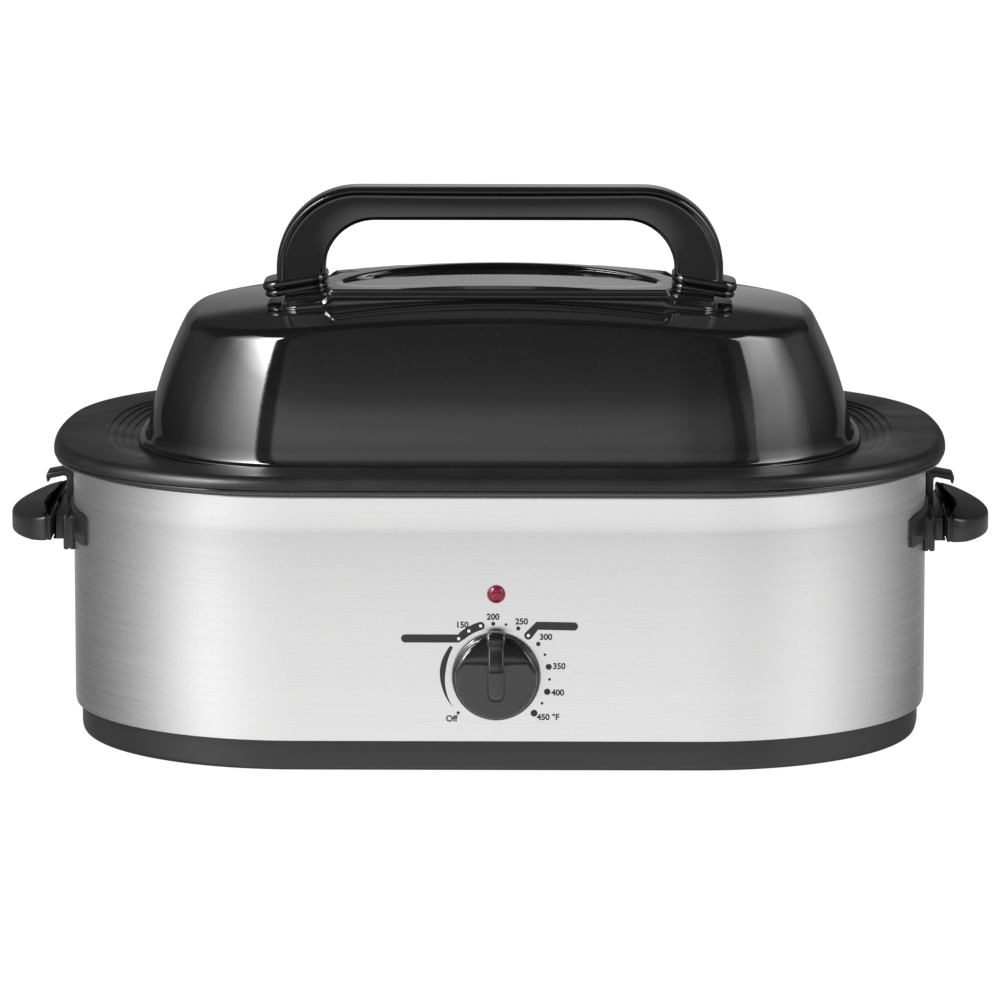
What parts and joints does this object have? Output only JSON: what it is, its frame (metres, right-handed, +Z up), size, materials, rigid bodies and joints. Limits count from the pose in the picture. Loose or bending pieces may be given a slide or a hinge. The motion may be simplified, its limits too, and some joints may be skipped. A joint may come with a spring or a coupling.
{
  "type": "electric roaster oven",
  "caption": "Countertop roaster oven: oval brushed-steel body on a black base, side handles, front knob, lift-out pan and rack, lift-off domed lid with an arched handle",
  "frame": {"origin": "centre of the footprint, on the surface the feet stand on", "axes": "+X to the right along the body's length seen from the front, +Z up, and the front with the control knob faces -Y"},
  "size_m": [0.6106, 0.4098, 0.3366],
  "materials": {
    "brushed_steel_body": "horizontally brushed, satin",
    "black_base_plastic": "fine satin moulding",
    "zinc_screw": "zinc plated",
    "foot_rubber": "matte",
    "black_rim": "satin black",
    "well_enamel": "black enamel with fine pale flecks",
    "glass_fibre": "loose glass-fibre felt",
    "element_sheath": "oxidised steel sheath",
    "white_ceramic": "unglazed",
    "brass_screw": "bright",
    "gland_rubber": "satin moulding",
    "copper_bulb": "copper tube",
    "red_lens": "translucent red, polished",
    "lamp_glass": "clear",
    "knob_plastic": "polished black",
    "pan_enamel": "satin black enamel with fine flecks inside",
    "rack_chrome": "bright plated wire",
    "lid_enamel": "high-gloss black enamel",
    "handle_plastic": "polished black",
    "gasket_felt": "matte"
  },
  "bodies": {
    "housing": {"shell_front": "brushed_steel_body", "shell_rear": "brushed_steel_body", "base_tray": "black_base_plastic", "base_screws": "zinc_screw", "foot_front_left": "foot_rubber", "foot_front_right": "foot_rubber", "foot_rear_left": "foot_rubber", "foot_rear_right": "foot_rubber", "liner_standoffs": "zinc_screw", "standoff_screws": "zinc_screw", "upper_rim_ring": "black_rim", "well_liner": "well_enamel", "insulation_blanket": "glass_fibre", "heating_element": "element_sheath", "element_terminals": "white_ceramic", "element_clips": "zinc_screw", "terminal_block": "white_ceramic", "terminal_screws": "brass_screw", "cord_gland": "gland_rubber", "gland_nut": "gland_rubber", "thermostat_body": "white_ceramic", "thermostat_screws": "zinc_screw", "sensing_bulb": "copper_bulb", "indicator_lens": "red_lens", "lamp_holder": "lamp_glass", "lamp_clip": "zinc_screw", "handle_right": "handle_plastic", "handle_left": "handle_plastic", "handle_gasket_right": "gasket_felt", "handle_gasket_left": "gasket_felt", "handle_screws_right": "zinc_screw", "handle_screws_left": "zinc_screw"},
    "pan": {"cooking_pan": "pan_enamel"},
    "rack": {"roasting_rack": "rack_chrome", "rack_grip_left": "rack_chrome", "rack_grip_right": "rack_chrome"},
    "lid": {"lid_dome": "lid_enamel", "lid_handle": "handle_plastic", "handle_flange_left": "handle_plastic", "handle_flange_right": "handle_plastic", "lid_handle_screws": "zinc_screw", "lid_screw_washers": "zinc_screw"},
    "knob": {"control_knob": "knob_plastic", "thermostat_spindle": "zinc_screw"}
  },
  "joints": [
    {"name": "pan_lift", "type": "slide", "parent": "housing", "child": "pan", "axis": [0, 0, 1], "range_m": [0, 0.2]},
    {"name": "lid_lift", "type": "slide", "parent": "pan", "child": "lid", "axis": [0, 0, 1], "range_m": [0, 0.25]},
    {"name": "rack_lift", "type": "slide", "parent": "pan", "child": "rack", "axis": [0, 0, 1], "range_m": [0, 0.09]},
    {"name": "knob_turn", "type": "hinge", "parent": "housing", "child": "knob", "pos_m": [0, -0.19, 0.063], "axis": [0, 1, 0], "range_deg": [-135, 135]}
  ]
}
